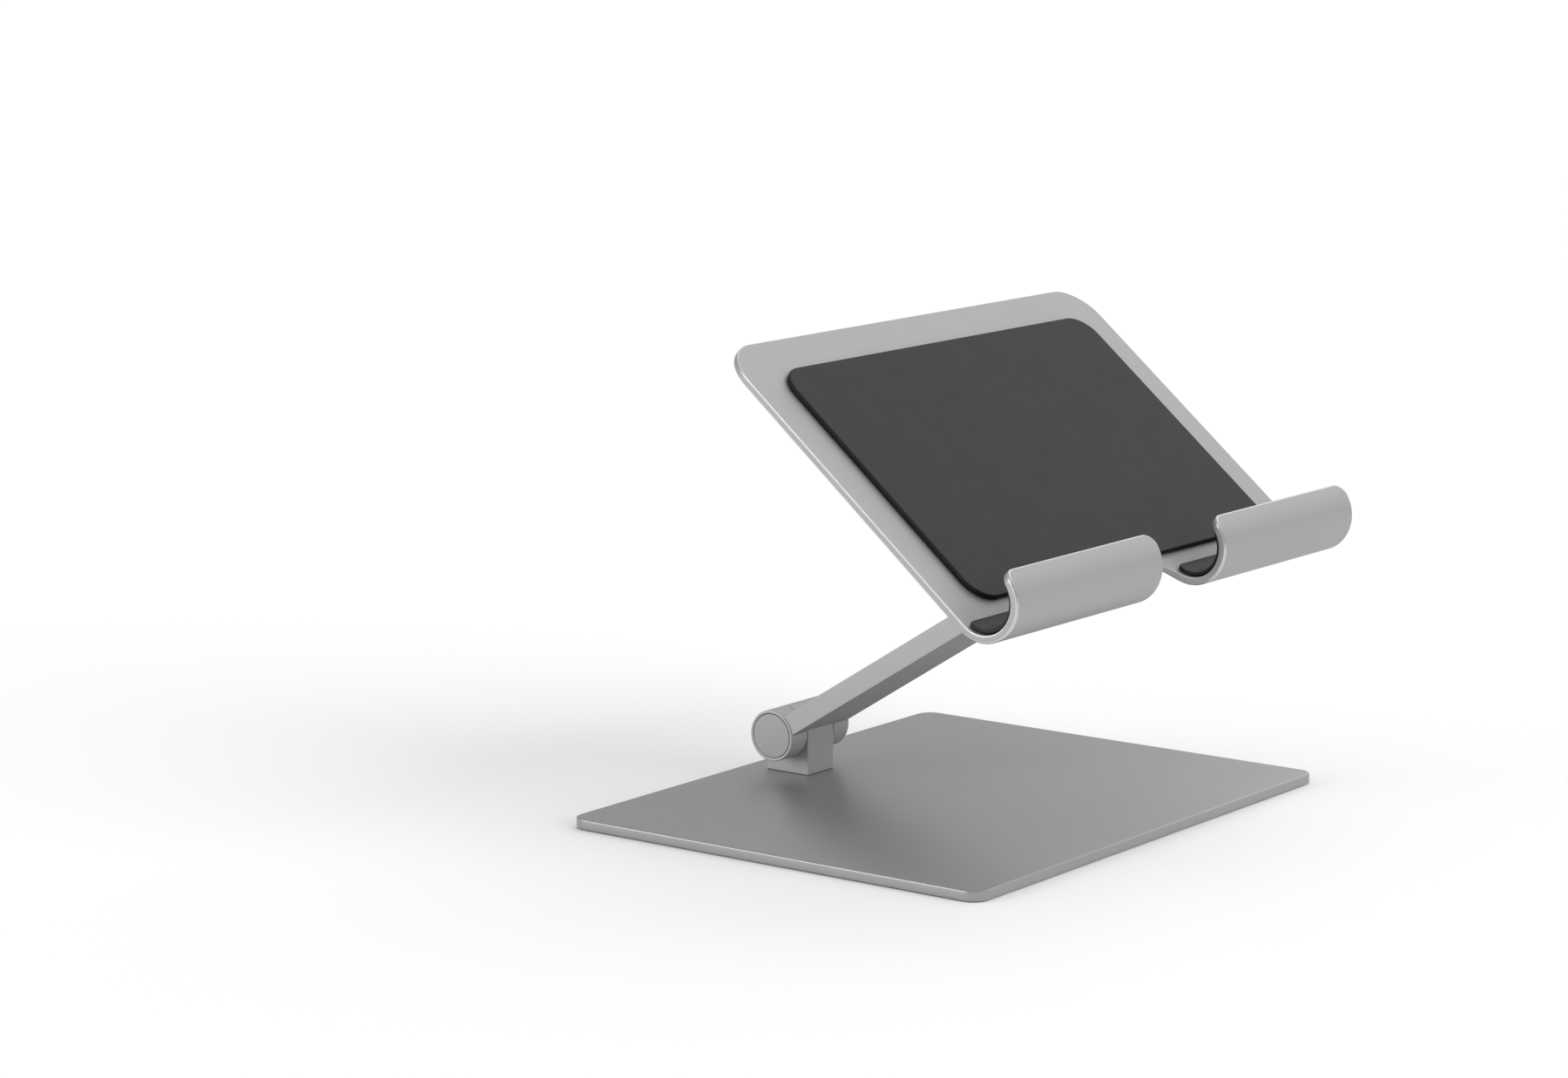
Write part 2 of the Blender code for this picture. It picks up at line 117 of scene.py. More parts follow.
def surface(name, look):
    # One recipe for every finish: a grain for bump, and slow patches for colour and roughness.
    material = bpy.data.materials.new(name)
    material.use_nodes = True
    tree = material.node_tree
    shader = tree.nodes["Principled BSDF"]
    shader.inputs["Metallic"].default_value = look["metallic"]
    if "ior" in look:
        shader.inputs["IOR"].default_value = look["ior"]
    place = addNode(tree, "ShaderNodeTexCoord").outputs["Object"]
    patches = addNode(tree, "ShaderNodeTexNoise", inputs={
        "Vector": place, "Scale": 1 / (look["patchSize"] * mm), "Detail": 3.0, "Roughness": 0.6})
    grain = addNode(tree, "ShaderNodeTexNoise", inputs={
        "Vector": place, "Scale": 1 / (look["grainSize"] * mm), "Detail": 2.0, "Roughness": 0.55})
    # Sockets 6 and 7 are the two colours of a colour mix, and its output 2 is the mixed one.
    colour = addNode(tree, "ShaderNodeMix", {"data_type": "RGBA"}, {
        "Factor": patches.outputs["Fac"], 6: linear(look["colour"]), 7: linear(look["patchColour"])})
    both = addNode(tree, "ShaderNodeMath", {"operation": "MULTIPLY"}, {
        0: patches.outputs["Fac"], 1: grain.outputs["Fac"]})
    low, high = look["roughness"]
    rough = addNode(tree, "ShaderNodeMapRange", inputs={
        "Value": both.outputs[0], "From Min": 0.1, "From Max": 0.4, "To Min": low, "To Max": high})
    bump = addNode(tree, "ShaderNodeBump", inputs={
        "Height": grain.outputs["Fac"], "Strength": look["bump"], "Distance": look["bumpDepth"] * mm})
    for output, socket in ((colour.outputs[2], "Base Color"), (rough.outputs["Result"], "Roughness"),
                           (bump.outputs["Normal"], "Normal")):
        tree.links.new(output, shader.inputs[socket])
    return material


# Satin anodised aluminium: an even soft grey with no brush lines. Its oxide scatters light, so it
# is drawn less than fully metallic. A 0.1 mm blasting grain is drawn at 0.4 mm, or it wouldn't show.
satinAnodised = surface("satinAnodisedAluminium", {
    "metallic": 0.45, "colour": "#9B9C9D", "patchColour": "#9F9FA0", "patchSize": 14.0,
    "grainSize": 0.4, "roughness": (0.46, 0.53), "bump": 0.10, "bumpDepth": 0.02})

# Aluminium of the bar, the post and the bracket, less shiny than the sheet and painted paler: the paler
# colour is painted light that lifts these parts where the lamps leave them darker.
# How much paler is matched.
aluminiumPaintedPaler = surface("aluminiumPaintedPaler", {
    "metallic": 0.3, "colour": "#A9AAAB", "patchColour": "#ADADAE", "patchSize": 10.0,
    "grainSize": 0.4, "roughness": (0.48, 0.55), "bump": 0.10, "bumpDepth": 0.02})

# The same metal on the trimmed edges: smoother, and drawn brighter, partly as a bright cut edge and partly
# as a painted highlight along the edges.
cutEdgeAndHighlight = surface("cutEdgeWithPaintedHighlight", {
    "metallic": 1.0, "colour": "#C8C9CB", "patchColour": "#CCCDCE", "patchSize": 6.0,
    "grainSize": 0.3, "roughness": (0.28, 0.34), "bump": 0.04, "bumpDepth": 0.01})

# Silver powder coat on a steel plate: fine metal flake under a satin clear film.
silverCoat = surface("silverCoatedSteel", {
    "metallic": 0.6, "colour": "#979899", "patchColour": "#9B9C9D", "patchSize": 22.0,
    "grainSize": 0.35, "roughness": (0.30, 0.34), "bump": 0.05, "bumpDepth": 0.02})

# Zinc plated steel: bright bolts, nuts and spring washers with a faint cloudy bloom.
zincSteel = surface("zincPlatedSteel", {
    "metallic": 1.0, "colour": "#C3C5C8", "patchColour": "#D2D2CE", "patchSize": 2.5,
    "grainSize": 0.25, "roughness": (0.22, 0.36), "bump": 0.06, "bumpDepth": 0.01})

# Moulded nylon friction washer: matte dark grey with a slight waxy sheen.
frictionNylon = surface("mouldedNylon", {
    "metallic": 0.0, "ior": 1.53, "colour": "#4A4B4D", "patchColour": "#525355", "patchSize": 3.0,
    "grainSize": 0.3, "roughness": (0.42, 0.52), "bump": 0.1, "bumpDepth": 0.02})

# Black silicone, moulded against a spark-eroded steel tool: matte, soft, faintly dusty.
blackSilicone = surface("blackSilicone", {
    "metallic": 0.0, "ior": 1.43, "colour": "#101011", "patchColour": "#111112", "patchSize": 9.0,
    "grainSize": 0.5, "roughness": (0.56, 0.60), "bump": 0.20, "bumpDepth": 0.03})

print("materials ready")


def outline(corners, thickness, steps=10):
    # A flat plate from its corners, each (x, y, corner radius).
    bm = bmesh.new()
    verts = [bm.verts.new((x * mm, y * mm, 0)) for x, y, radius in corners]
    bm.faces.new(verts)
    for vert, (x, y, radius) in zip(verts, corners):
        if radius:
            bmesh.ops.bevel(bm, geom=[vert], offset=radius * mm, offset_type="OFFSET",
                            segments=steps, profile=0.5, affect="VERTICES", material=-1)
    bmesh.ops.remove_doubles(bm, verts=bm.verts, dist=1e-7)
    grown = bmesh.ops.extrude_face_region(bm, geom=bm.faces[:])
    top = [v for v in grown["geom"] if isinstance(v, bmesh.types.BMVert)]
    bmesh.ops.translate(bm, vec=(0, 0, thickness * mm), verts=top)
    bmesh.ops.recalc_face_normals(bm, faces=bm.faces)
    return bm


def rectangle(width, depth, radius, middle=(0, 0)):
    x, y = width / 2, depth / 2
    return [(middle[0] + sx * x, middle[1] + sy * y, radius)
            for sx, sy in ((-1, -1), (1, -1), (1, 1), (-1, 1))]


def soften(bm, width, segments=2, level=None, angle=40):
    # Rounds the sharp edges, or only those at one height of a flat plate.
    edges = [e for e in bm.edges if e.calc_face_angle(0) > math.radians(angle)]
    if level is not None:
        edges = [e for e in edges if all(abs(v.co.z - level * mm) < 1e-7 for v in e.verts)]
    cut = bmesh.ops.bevel(bm, geom=edges, offset=width * mm, offset_type="OFFSET",
                          segments=segments, profile=0.5, affect="EDGES", clamp_overlap=True,
                          material=-1)
    return cut["faces"]


def turned(profile, steps=96, ring=False):
    # A turned piece about X, from its (x, radius) profile.
    bm = bmesh.new()
    verts = [bm.verts.new((x * mm, 0, radius * mm)) for x, radius in profile]
    edges = [bm.edges.new(pair) for pair in zip(verts, verts[1:])]
    if ring:
        edges.append(bm.edges.new((verts[-1], verts[0])))
    bmesh.ops.spin(bm, geom=verts + edges, cent=(0, 0, 0), axis=(1, 0, 0), dvec=(0, 0, 0),
                   angle=2 * math.pi, steps=steps, use_merge=True)
    bmesh.ops.remove_doubles(bm, verts=bm.verts, dist=1e-7)
    bmesh.ops.recalc_face_normals(bm, faces=bm.faces)
    return bm


def placed(bm, matrix):
    bmesh.ops.transform(bm, matrix=matrix, verts=bm.verts)
    return bm


def combined(bm, operation, *others):
    # Booleans through two passing objects. Returns a new bmesh.
    for other in others:
        pair = []
        for shape in (bm, other):
            mesh = bpy.data.meshes.new("passing")
            shape.to_mesh(mesh)
            shape.free()
            pair.append(bpy.data.objects.new("passing", mesh))
            bpy.context.scene.collection.objects.link(pair[-1])
        modifier = pair[0].modifiers.new("boolean", "BOOLEAN")
        modifier.operation = operation
        modifier.solver = "EXACT"
        modifier.object = pair[1]
        bpy.context.view_layer.update()
        bm = bmesh.new()
        bm.from_object(pair[0], bpy.context.evaluated_depsgraph_get())
        for obj in pair:
            mesh = obj.data
            bpy.data.objects.remove(obj)
            bpy.data.meshes.remove(mesh)
    bmesh.ops.remove_doubles(bm, verts=bm.verts, dist=1e-7)
    return bm


def addPiece(name, bm, node, body, material, place=Matrix(), edgeMaterial=None):
    placed(bm, place)
    mesh = bpy.data.meshes.new(name)
    bm.to_mesh(mesh)
    bm.free()
    mesh.materials.append(material)
    if edgeMaterial:
        mesh.materials.append(edgeMaterial)
    mesh.shade_smooth()
    mesh.set_sharp_from_angle(angle=math.radians(50))
    piece = bpy.data.objects.new(name, mesh)
    bpy.context.scene.collection.objects.link(piece)
    weighted = piece.modifiers.new("weightedNormals", "WEIGHTED_NORMAL")
    weighted.keep_sharp = True
    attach(piece, body)
    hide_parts(node)
    return piece


def hexCorner(flats):
    return flats / 2 / math.cos(math.pi / 6)


def hexagon(flats, start, end, corner=0.15):
    # A hexagonal bar along X.
    bm = bmesh.new()
    bmesh.ops.create_circle(bm, cap_ends=True, segments=6, radius=hexCorner(flats) * mm)
    grown = bmesh.ops.extrude_face_region(bm, geom=bm.faces[:])
    top = [v for v in grown["geom"] if isinstance(v, bmesh.types.BMVert)]
    bmesh.ops.translate(bm, vec=(0, 0, (end - start) * mm), verts=top)
    bmesh.ops.recalc_face_normals(bm, faces=bm.faces)
    sides = [e for e in bm.edges if abs(e.verts[0].co.z - e.verts[1].co.z) > 1e-6]
    bmesh.ops.bevel(bm, geom=sides, offset=corner * mm, offset_type="OFFSET", segments=2,
                    profile=0.5, affect="EDGES", material=-1)
    placed(bm, Matrix.Translation((start * mm, 0, 0)) @ Matrix.Rotation(math.pi / 2, 4, "Y"))
    return bm


# Camera
camera = {"azimuth": -52.535, "elevation": 10.12, "roll": -0.247, "lens": 98.66,
          "place": (-0.98615, -0.69579, 0.29326)}


def makeCamera():
    data = bpy.data.cameras.new("camera")
    data.lens = camera["lens"]
    data.sensor_width = 36.0
    data.clip_end = 50.0
    obj = bpy.data.objects.new("camera", data)
    bpy.context.scene.collection.objects.link(obj)
    a, e = math.radians(camera["azimuth"]), math.radians(camera["elevation"])
    back = Vector((math.sin(a) * math.cos(e), -math.cos(a) * math.cos(e), math.sin(e)))
    level = (-back).to_track_quat("-Z", "Y").to_matrix().to_4x4()
    roll = Matrix.Rotation(math.radians(camera["roll"]), 4, "Z")
    obj.matrix_world = Matrix.Translation(camera["place"]) @ level @ roll
    bpy.context.scene.camera = obj


makeCamera()
print("camera ready")

# Base plate: laser-cut steel with a chamfered top edge, and a pocket below for the mat
basePlate = {"cornerRadius": 5.0, "chamfer": 0.45, "lowerEdge": 0.15, "pocketMargin": 4.0,
             "pocketRadius": 5.0, "screwSpacing": 8.8}
matPad = {"cornerRadius": 5.0, "edge": 0.2}
screwShape = {"radius": 1.5, "headRadius": 2.7, "headEdge": 0.1, "sink": 0.1, "key": 1.8,
              "keyDepth": 0.6, "pitch": 0.5, "threadDepth": 0.22, "plain": 0.3, "unthreaded": 0.8,
              "tip": 0.3, "tipInset": 0.35, "crestInset": 0.05}


def screwHole(length):
    # Cutter along its own +X, from the face that the head sinks into.
    r, head = screwShape["radius"] + hinge["gap"], screwShape["headRadius"] + hinge["gap"]
    cone = screwShape["headRadius"] - screwShape["radius"]
    sink, bottom = screwShape["sink"], screwShape["sink"] + length + hinge["gap"]
    return turned([(-past, 0), (-past, head), (sink, head), (sink + cone, r), (bottom, r),
                   (bottom, 0)], steps=48)


def screwBody(length):
    # Countersunk screw along its own +X, with a hexagonal key and rings for its thread.
    s = screwShape
    sink, r = s["sink"], s["radius"]
    neck, end = sink + s["headRadius"] - r, sink + length
    profile = [(sink, 0), (sink, s["headRadius"] - s["headEdge"]),
               (sink + s["headEdge"], s["headRadius"]), (neck, r)]
    for i in range(int((length - (neck - sink) - s["unthreaded"]) / s["pitch"])):
        start = neck + s["plain"] + i * s["pitch"]
        profile += [(start, r), (start + s["pitch"] / 2, r - s["threadDepth"])]
    profile += [(end - s["tip"], r - s["crestInset"]), (end, r - s["tipInset"]), (end, 0)]
    key = hexagon(s["key"], -past, sink + s["keyDepth"])
    return combined(turned(profile, steps=40), "DIFFERENCE", key)


upX = Matrix.Rotation(-math.pi / 2, 4, "Y")  # turns a piece along +X to run along +Z


def makeBase():
    low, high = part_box("base_plate")
    matLow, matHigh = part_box("base_mat")
    width, depth = (high.x - low.x) / mm, (high.y - low.y) / mm
    thickness = (high.z - low.z) / mm
    bm = outline(rectangle(width, depth, basePlate["cornerRadius"]), thickness, steps=12)
    soften(bm, basePlate["chamfer"], level=thickness)
    soften(bm, basePlate["lowerEdge"], segments=1, level=0)
    placed(bm, Matrix.Translation((0, 0, low.z)))
    margin = 2 * basePlate["pocketMargin"]
    floorLevel = matHigh.z + hinge["gap"] * mm
    pocket = outline(rectangle(width - margin, depth - margin, basePlate["pocketRadius"]),
                     floorLevel / mm + past)
    placed(pocket, Matrix.Translation((0, 0, -past * mm)))
    bm = combined(bm, "DIFFERENCE", pocket)
    for name, side in (("Front", -1), ("Back", 1)):
        node = "post_screw_" + name.lower()
        screwLow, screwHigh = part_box(node)
        length = (screwHigh.z - screwLow.z) / mm
        along = lowerAxis.y + side * basePlate["screwSpacing"] / 2 * mm
        place = Matrix.Translation((0, along, floorLevel)) @ upX
        bm = combined(bm, "DIFFERENCE", placed(screwHole(length), place))
        addPiece("postScrew" + name, screwBody(length), node, "base", zincSteel, place)
    addPiece("basePlate", bm, "base_plate", "base", silverCoat)

    mat = outline(rectangle((matHigh.x - matLow.x) / mm, (matHigh.y - matLow.y) / mm,
                            matPad["cornerRadius"]), matHigh.z / mm)
    soften(mat, matPad["edge"])
    addPiece("baseMat", mat, "base_mat", "base", blackSilicone)


makeBase()
print("base ready")

# Middle leaf of a hinge: a block rounded about the axis, bored, with a washer pocket each side
leaf = {"edge": 0.25, "mouth": 0.2, "footGap": 0.04}


def middleLeaf(height):
    r, face = hinge["barrelRadius"], hinge["tongueFace"]
    bm = outline([(-r, -height, 0), (r, -height, 0), (r, r, r), (-r, r, r)], 2 * face, steps=32)
    soften(bm, leaf["edge"])
    # The outline's x becomes Y, its y becomes Z, and its thickness runs along X.
    across = Matrix(((0, 0, 1, -face * mm), (1, 0, 0, 0), (0, 1, 0, 0), (0, 0, 0, 1)))
    return placed(bm, across)


def leafBore():
    face, mouth = hinge["tongueFace"], leaf["mouth"]
    pocket, bore = hinge["washerRadius"] + hinge["gap"], hinge["boreRadius"]
    step = hinge["washerInner"] - hinge["gap"]
    half = [(face + past, 0), (face + past, pocket + mouth + past), (face - mouth, pocket),
            (step, pocket), (step, bore)]
    return turned([(-x, r) for x, r in half] + half[::-1])


def makePost():
    height = (lowerAxis.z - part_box("base_plate")[1].z) / mm - leaf["footGap"]
    bm = combined(middleLeaf(height), "DIFFERENCE", leafBore())
    screwLow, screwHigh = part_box("post_screw_front")
    length = (screwHigh.z - screwLow.z) / mm
    for side in (-1, 1):
        place = (0, side * basePlate["screwSpacing"] / 2 * mm, screwLow.z - lowerAxis.z)
        bm = combined(bm, "DIFFERENCE", placed(screwHole(length), Matrix.Translation(place) @ upX))
    # The post takes the aluminium painted paler, a painted light.
    addPiece("post", bm, "post", "base", aluminiumPaintedPaler, postPlace)


# Everything on one hinge's bolt
bolt = {"key": 3.0, "keyDepth": 1.3, "edge": 0.25, "pitch": 0.8, "threadDepth": 0.35,
        "threadStart": 7.0, "tip": 0.35, "tipInset": 0.4, "crestInset": 0.05}
nut = {"flats": 8.0, "edge": 0.3, "mouth": 0.3, "clear": 0.1}
frictionWasher = {"edge": 0.1}
discSpring = {"sheet": 0.5, "cone": 0.4, "rim": 2.1, "edge": 0.08}
cap = {"edge": 0.12, "skirt": 0.7, "skirtDepth": 1.5}


def makeBolt(side, place):
    h = hinge
    end, r = h["headEnd"], h["boltRadius"]
    profile = [(-end, 0), (-end, h["headRadius"] - bolt["edge"]), (-end + bolt["edge"], h["headRadius"]),
               (-h["headSeat"], h["headRadius"]), (-h["headSeat"], r)]
    start = bolt["threadStart"]
    while start < end - bolt["pitch"]:
        profile += [(start, r), (start + bolt["pitch"] / 2, r - bolt["threadDepth"])]
        start += bolt["pitch"]
    profile += [(end - bolt["tip"], r - bolt["crestInset"]), (end, r - bolt["tipInset"]), (end, 0)]
    key = hexagon(bolt["key"], -end - past, -end + bolt["keyDepth"])
    bm = combined(turned(profile, steps=64), "DIFFERENCE", key)
    addPiece(side + "Bolt", bm, side + "_bolt", "arm", zincSteel, place)


def makeNut(side, place):
    # A hexagonal bar whose corners are turned off, with a countersunk bore.
    start, end, r = hinge["headSeat"], hinge["headEnd"], hinge["boreRadius"]
    edge, mouth, corner = nut["edge"], nut["mouth"], hexCorner(nut["flats"])
    below, above = start - past, end + past
    rounded = turned([(below, 0), (below, corner - edge - past), (start + edge, corner + nut["clear"]),
                      (end - edge, corner + nut["clear"]), (above, corner - edge - past), (above, 0)])
    bore = turned([(below, 0), (below, r + mouth + past), (start + mouth, r), (end - mouth, r),
                   (above, r + mouth + past), (above, 0)])
    bm = combined(combined(hexagon(nut["flats"], start, end), "INTERSECT", rounded), "DIFFERENCE", bore)
    addPiece(side + "Nut", bm, side + "_nut", "arm", zincSteel, place)


def makeStack(side, place):
    # Friction washer, disc spring and cap, one of each on both hands.
    h = hinge
    inner, first = h["boreRadius"], h["cavityFloor"] + h["gap"]
    washer = [(h["washerInner"], inner), (h["washerInner"], h["washerRadius"]),
              (h["washerOuter"], h["washerRadius"]), (h["washerOuter"], inner)]
    outer, cone, sheet = inner + discSpring["rim"], discSpring["cone"], discSpring["sheet"]
    spring = [(first + cone, inner), (first, outer), (first + sheet, outer), (first + cone + sheet, inner)]
    skirtRadius = h["cavityRadius"] - h["gap"]
    skirtInner, skirtEnd = skirtRadius - cap["skirt"], h["capSeat"] - cap["skirtDepth"]
    disc = [(h["capSeat"], 0), (h["capSeat"], skirtInner), (skirtEnd, skirtInner), (skirtEnd, skirtRadius),
            (h["capSeat"], skirtRadius), (h["capSeat"], h["capRadius"]), (h["barrelEnd"], h["capRadius"]),
            (h["barrelEnd"], 0)]
    pieces = (("FrictionWasher", "friction_washer", washer, frictionWasher["edge"],
                   "friction_washer", frictionNylon),
              ("DiscSpring", "disc_spring", spring, discSpring["edge"], "zinc_steel", zincSteel),
              ("Cap", "cap", disc, cap["edge"], "satin_aluminium", satinAnodised))
    for hand, sign in (("Left", -1), ("Right", 1)):
        for name, node, shape, edge, slotName, material in pieces:
            bm = turned([(sign * x, r) for x, r in shape], ring=shape is not disc)
            soften(bm, edge)
            node = "_".join((side, node, hand.lower()))
            addPiece(side + name + hand, bm, node, "arm", material, place)


makePost()
for side, place in (("lower", armPlace), ("upper", armFarPlace)):
    makeBolt(side, place)
    makeNut(side, place)
    makeStack(side, place)
print("hinges ready")

# Arm: flat bar, forked at each end into two capped knuckles
arm = {"thickness": 6.2, "step": 0.3, "edge": 0.3, "knuckleEdge": 0.4}


def knuckle(sign):
    h = hinge
    ledge = h["capSeat"] - h["gap"]
    bm = turned([(sign * x, r) for x, r in (
        (h["knuckleFace"], h["boreRadius"]), (h["knuckleFace"], h["barrelRadius"]),
        (h["barrelEnd"], h["barrelRadius"]), (h["barrelEnd"], h["recessRadius"]),
        (ledge, h["recessRadius"]), (ledge, h["cavityRadius"]),
        (h["cavityFloor"], h["cavityRadius"]), (h["cavityFloor"], h["boreRadius"]))], ring=True)
    soften(bm, arm["knuckleEdge"])
    return bm


def makeArm():
    h = hinge
    length, halfWidth = armLine.length / mm, h["barrelEnd"] - arm["step"]
    face, slot = h["knuckleFace"], math.hypot(h["barrelRadius"] + h["gap"], arm["thickness"] / 2)
    wallMiddle = (h["barrelRadius"] + h["recessRadius"]) / 2
    bm = outline(rectangle(2 * halfWidth, length, 0, (0, -length / 2)), arm["thickness"])
    placed(bm, Matrix.Translation((0, 0, -arm["thickness"] / 2 * mm)))
    soften(bm, arm["edge"])
    knuckles = []
    for end in (0, -length):
        move = Matrix.Translation((0, end * mm, 0))
        outside = halfWidth + past
        half = [(outside, 0), (outside, wallMiddle), (face, wallMiddle), (face, slot)]
        cutter = turned([(-x, r) for x, r in half] + half[::-1], steps=120)
        bm = combined(bm, "DIFFERENCE", placed(cutter, move))
        knuckles += [placed(knuckle(sign), move) for sign in (-1, 1)]
    bm = combined(bm, "UNION", *knuckles)
    # The arm takes the aluminium painted paler, a painted light.
    addPiece("arm", bm, "arm", "arm", aluminiumPaintedPaler, armPlace)


makeArm()
print("arm ready")

# Cradle: one sheet, cut flat, its edges trimmed, then bent round into two hooks
cradleLow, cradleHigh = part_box("cradle")
bracket = {"width": 27.0, "depth": 24.0, "radius": 3.0, "thickness": 3.4, "edge": 0.3,
           "room": 0.5, "screwX": 19.5, "screwY": 16.5}  # room lies between barrel and foot
cradle = {
    "width": (cradleHigh.x - cradleLow.x) / mm,
    "sheet": 2.3,
    "plateBack": hinge["barrelRadius"] + bracket["room"] + bracket["thickness"] + hinge["gap"],
    "rise": 104.0,  # from the start of the bend to the top edge
    "hingeAboveBend": 18.6,
    "hookRadius": 11.15,
    "hookGap": 31.7,
    "lipRise": 0.9,
    "lipRadius": 4.0,
    "notchRise": 2.0,
    "notchRadius": 6.0,
    "plateRadius": 12.0,
    "outerEdge": 0.6,  # trimmed edge on the outside of the hooks
    "innerEdge": 0.3,
    "bendSteps": 56,
}
bendRadius = cradle["hookRadius"] - cradle["sheet"] / 2
bendLength = math.pi * bendRadius
lining = {"thickness": 1.0, "sideMargin": 1.2, "lipMargin": 3.5, "radius": 2.0, "edge": 0.3}
backPad = {"thickness": 1.5, "margin": 12.0, "footMargin": 3.0, "radius": 8.0, "edge": 0.5}


def bent(bm, back):
    # Bends a flat blank whose y is the length along the sheet's middle. Its own z starts at back.
    # The first cut is down the middle, so that no bend line meets both hooks in one face.
    cuts = [((0, 0, 0), (1, 0, 0))]
    cuts += [((0, -bendLength * mm * i / cradle["bendSteps"], 0), (0, 1, 0))
             for i in range(cradle["bendSteps"] + 1)]
    for point, normal in cuts:
        bmesh.ops.bisect_plane(bm, geom=bm.verts[:] + bm.edges[:] + bm.faces[:], dist=1e-7,
                               plane_co=point, plane_no=normal)
    for vert in bm.verts:
        along, depth = vert.co.y / mm, vert.co.z / mm + back
        angle = min(max(-along / bendRadius, 0), math.pi)
        straight = max(along, 0) + max(-bendLength - along, 0)
        radius = cradle["hookRadius"] - depth
        vert.co.y = (straight - radius * math.sin(angle) - cradle["hingeAboveBend"]) * mm
        vert.co.z = (cradle["plateBack"] + cradle["hookRadius"] - radius * math.cos(angle)) * mm
    bmesh.ops.recalc_face_normals(bm, faces=bm.faces)
    return bm


def bracketScrews():
    for across, x in (("left", -1), ("right", 1)):
        for level, y in (("lower", -1), ("upper", 1)):
            place = Matrix.Translation((x * bracket["screwX"] / 2 * mm, y * bracket["screwY"] / 2 * mm,
                                        (cradle["plateBack"] + cradle["sheet"]) * mm))
            yield level + "_" + across, place @ Matrix.Rotation(math.pi / 2, 4, "Y")


def makeCradle():
    c = cradle
    half, gap = c["width"] / 2, c["hookGap"] / 2
    lipEnd = -bendLength - c["lipRise"]
    right = [(gap, c["notchRise"], c["notchRadius"]), (gap, lipEnd, c["lipRadius"]),
             (half, lipEnd, c["lipRadius"]), (half, c["rise"], c["plateRadius"])]
    bm = outline(right + [(-x, y, r) for x, y, r in reversed(right)], c["sheet"], steps=14)
    trimmed = soften(bm, c["outerEdge"], level=0)
    trimmed += soften(bm, c["innerEdge"], level=c["sheet"])
    # The trimmed faces take the brighter cut edge colour, which is partly a painted highlight.
    for face in trimmed:
        if face.is_valid:
            face.material_index = 1
    bm = bent(bm, 0)

    length = c["sheet"] + bracket["thickness"] - screwShape["sink"]
    foot = outline(rectangle(bracket["width"], bracket["depth"], bracket["radius"]), bracket["thickness"])
    soften(foot, bracket["edge"])
    footFace = c["plateBack"] - hinge["gap"] - bracket["thickness"]
    placed(foot, Matrix.Translation((0, 0, footFace * mm)))
    leafPiece = placed(middleLeaf(footFace + bracket["thickness"] / 2), Matrix.Rotation(math.pi, 4, "X"))
    bracketPiece = combined(combined(leafPiece, "UNION", foot), "DIFFERENCE", leafBore())
    for corner, place in bracketScrews():
        bm = combined(bm, "DIFFERENCE", placed(screwHole(length), place))
        bracketPiece = combined(bracketPiece, "DIFFERENCE", placed(screwHole(length), place))
        name = "bracketScrew" + corner.title().replace("_", "")
        addPiece(name, screwBody(length), "bracket_screw_" + corner, "cradle", zincSteel,
                 cradlePlace @ place)
    # The sheet's second material is the cut edge with its painted highlight.
    addPiece("cradleSheet", bm, "cradle", "cradle", satinAnodised, cradlePlace, cutEdgeAndHighlight)
    # The bracket takes the aluminium painted paler, a painted light.
    addPiece("cradleBracket", bracketPiece, "cradle_bracket", "cradle",
             aluminiumPaintedPaler, cradlePlace)


def makeRubber():
    c = cradle
    hookWidth = (c["width"] - c["hookGap"]) / 2
    liningLength = bendLength + c["lipRise"] - lining["lipMargin"]
    for hand, sign in (("left", -1), ("right", 1)):
        middle = (sign * (c["width"] + c["hookGap"]) / 4, -liningLength / 2)
        width = hookWidth - 2 * lining["sideMargin"]
        bm = outline(rectangle(width, liningLength, lining["radius"], middle), lining["thickness"])
        soften(bm, lining["edge"])
        bm = bent(bm, c["sheet"] + hinge["gap"])
        addPiece("hookLining" + hand.title(), bm, "hook_lining_" + hand, "cradle",
                 blackSilicone, cradlePlace)
    foot = c["notchRise"] + backPad["footMargin"]
    top = c["rise"] - backPad["margin"]
    bm = outline(rectangle(c["width"] - 2 * backPad["margin"], top - foot, backPad["radius"],
                           (0, (top + foot) / 2 - c["hingeAboveBend"])), backPad["thickness"])
    soften(bm, backPad["edge"], segments=3)
    placed(bm, Matrix.Translation((0, 0, (c["plateBack"] + c["sheet"] + hinge["gap"]) * mm)))
    addPiece("backPad", bm, "back_pad", "cradle", blackSilicone, cradlePlace)


makeCradle()
makeRubber()
print("cradle ready")


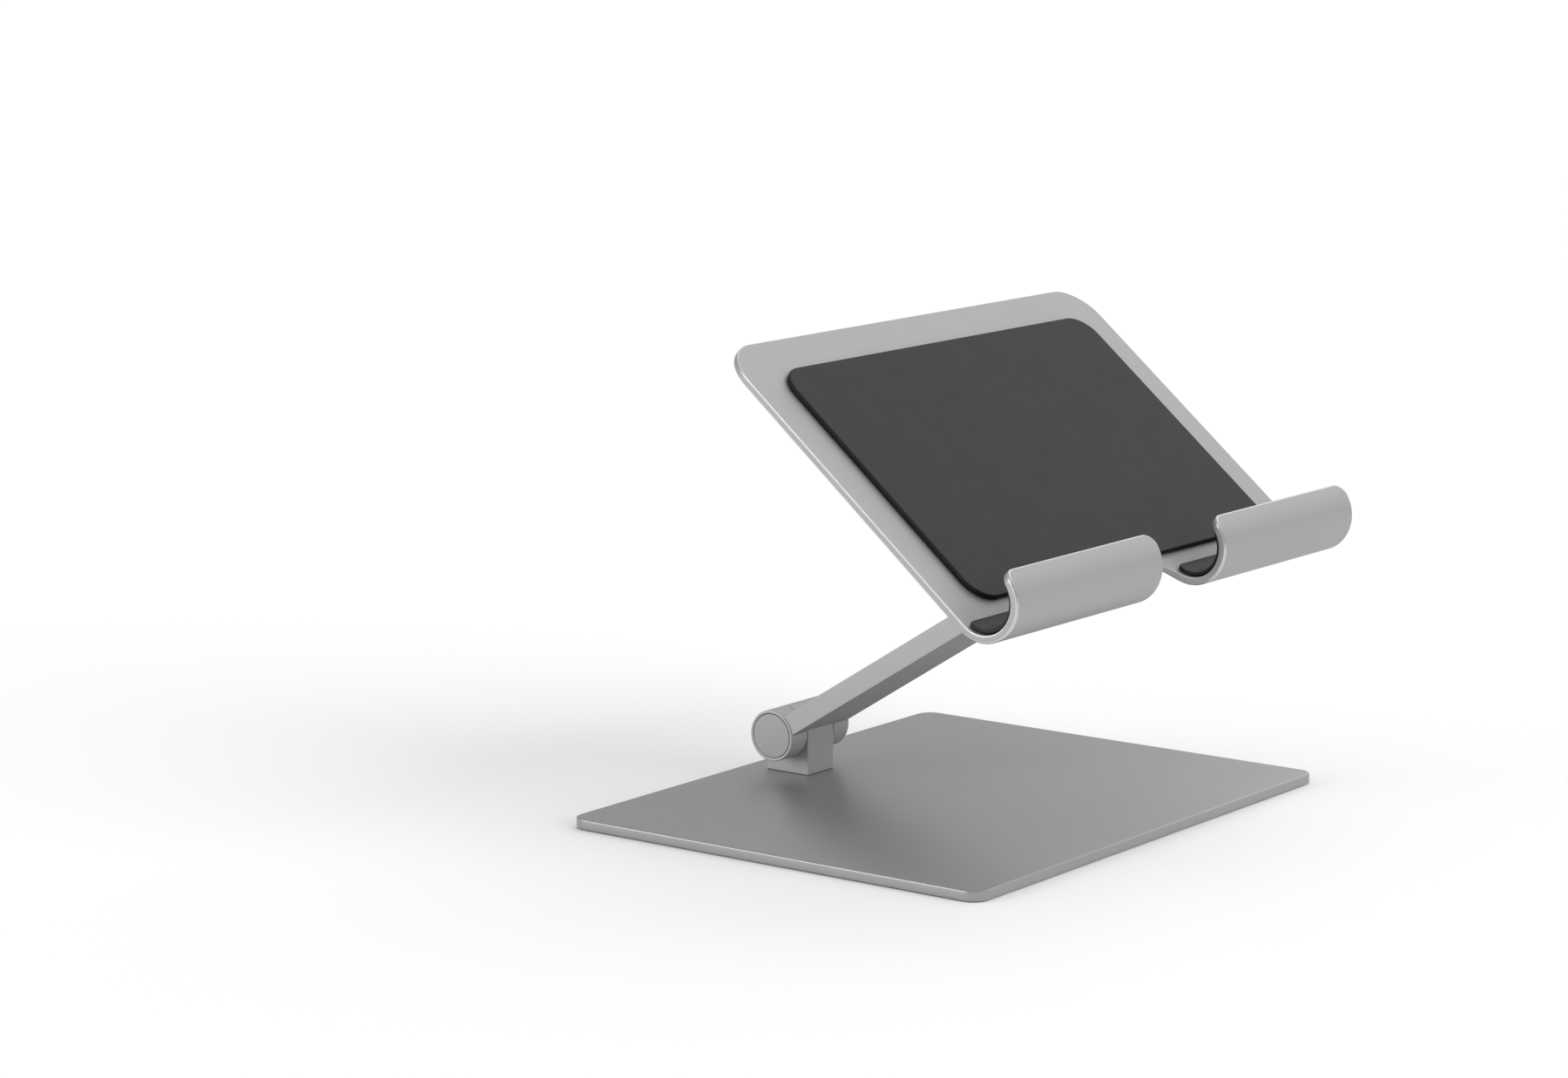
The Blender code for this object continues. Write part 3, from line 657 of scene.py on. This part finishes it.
# Studio, in metres: pale floor, white surroundings that are brightest overhead, one broad soft
# sun from the user's side, and two large soft boxes that fill the left and the right
studio = {"floorSize": 24.0, "floorColour": "#F5F5F5", "zenith": 0.70, "horizon": 0.42,
          "sunFrom": (0.10, -0.85, 0.48), "sunStrength": 1.7, "sunAngle": 42,
          "boxes": {"leftBox": {"from": (-8.0, 5.0, 1.25), "size": 6.0, "power": 560.0},
                    "rightBox": {"from": (8.0, -0.25, 5.75), "size": 12.0, "power": 400.0}}}


def makeStudio():
    bm = bmesh.new()
    bmesh.ops.create_grid(bm, x_segments=1, y_segments=1, size=studio["floorSize"] / 2)
    mesh = bpy.data.meshes.new("floor")
    bm.to_mesh(mesh)
    bm.free()
    floor = bpy.data.objects.new("floor", mesh)
    bpy.context.scene.collection.objects.link(floor)
    paper = bpy.data.materials.new("paleFloor")
    paper.use_nodes = True
    shader = paper.node_tree.nodes["Principled BSDF"]
    shader.inputs["Base Color"].default_value = linear(studio["floorColour"])
    shader.inputs["Roughness"].default_value = 0.95
    mesh.materials.append(paper)

    world = bpy.data.worlds.new("studio")
    world.use_nodes = True
    tree = world.node_tree
    direction = addNode(tree, "ShaderNodeTexCoord").outputs["Generated"]
    height = addNode(tree, "ShaderNodeSeparateXYZ", inputs={"Vector": direction}).outputs["Z"]
    glow = addNode(tree, "ShaderNodeMapRange", inputs={
        "Value": height, "To Min": studio["horizon"], "To Max": studio["zenith"]})
    tree.nodes["Background"].inputs["Color"].default_value = linear("#FFFFFF")
    tree.links.new(glow.outputs["Result"], tree.nodes["Background"].inputs["Strength"])
    bpy.context.scene.world = world

    sun = bpy.data.lights.new("sun", "SUN")
    sun.energy = studio["sunStrength"]
    sun.angle = math.radians(studio["sunAngle"])
    lights = [(sun, studio["sunFrom"])]
    for name, box in studio["boxes"].items():
        data = bpy.data.lights.new(name, "AREA")
        data.energy = box["power"]
        data.size = box["size"]
        lights.append((data, box["from"]))
    for data, place in lights:
        light = bpy.data.objects.new(data.name, data)
        bpy.context.scene.collection.objects.link(light)
        light.location = place
        light.rotation_euler = Vector(place).to_track_quat("Z", "Y").to_euler()
        light.visible_glossy = data is not sun  # no glare of the sun on the base plate
    bpy.context.scene.view_settings.view_transform = "Standard"


makeStudio()
print("studio ready")
